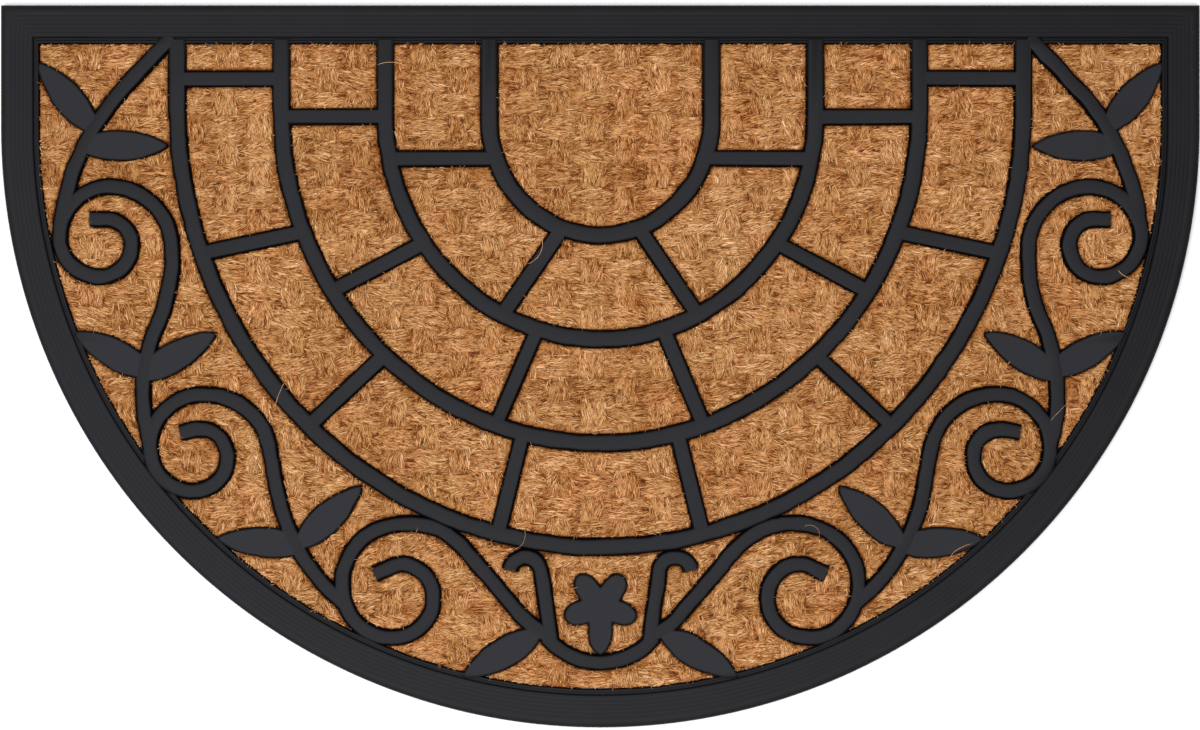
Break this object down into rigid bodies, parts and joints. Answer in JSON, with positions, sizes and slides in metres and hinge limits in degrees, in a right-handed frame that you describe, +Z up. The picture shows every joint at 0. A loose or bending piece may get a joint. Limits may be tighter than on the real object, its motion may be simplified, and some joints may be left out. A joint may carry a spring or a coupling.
{
  "type": "half round doormat",
  "caption": "Half round doormat: a moulded rubber rim with raised fan and scroll tracery, set into a panel of woven coir.",
  "frame": {"origin": "centre of the mat's bounding box, on the floor plane under it", "axes": "+X runs along the straight edge, +Y points from the round edge to the straight edge, +Z points up from the floor"},
  "size_m": [0.75, 0.452, 0.009],
  "materials": {
    "rubber": "matt moulded rubber with fine ribs along the rim",
    "coir": "coarse woven natural coir, rough and fibrous"
  },
  "bodies": {
    "root": {"rubber_moulding": "rubber", "coir_panel": "coir"}
  },
  "joints": []
}
